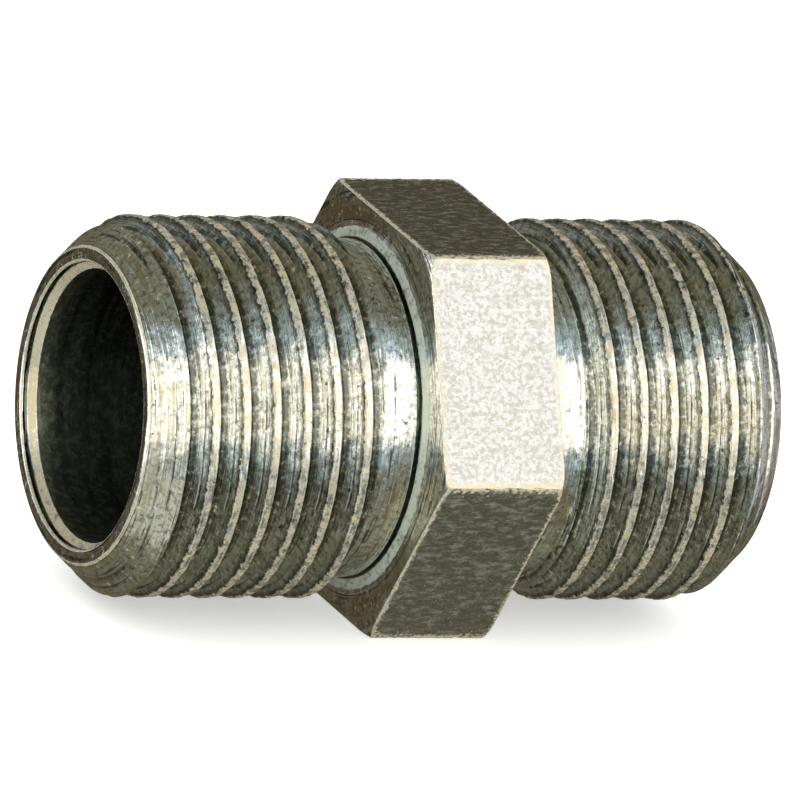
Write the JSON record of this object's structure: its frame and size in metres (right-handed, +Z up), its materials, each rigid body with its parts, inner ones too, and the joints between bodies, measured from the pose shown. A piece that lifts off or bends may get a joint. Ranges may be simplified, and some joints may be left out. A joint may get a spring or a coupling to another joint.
{
  "type": "hex nipple",
  "caption": "Straight pipe nipple with parallel male threads on both ends, a hexagon for a spanner between them and an open through bore.",
  "frame": {"origin": "on the bore's axis, half-way between the two end faces", "axes": "+X along the bore towards the shorter threaded end, +Z up, square to the hexagon flat that faces up; the opposite flat faces down and is what the part rests on"},
  "size_m": [0.038, 0.0254, 0.022],
  "materials": {
    "zinc_plated_steel": "bright zinc plating over turned and drawn steel, with fine tool marks"
  },
  "bodies": {
    "root": {"nipple_body": "zinc_plated_steel"}
  },
  "joints": []
}
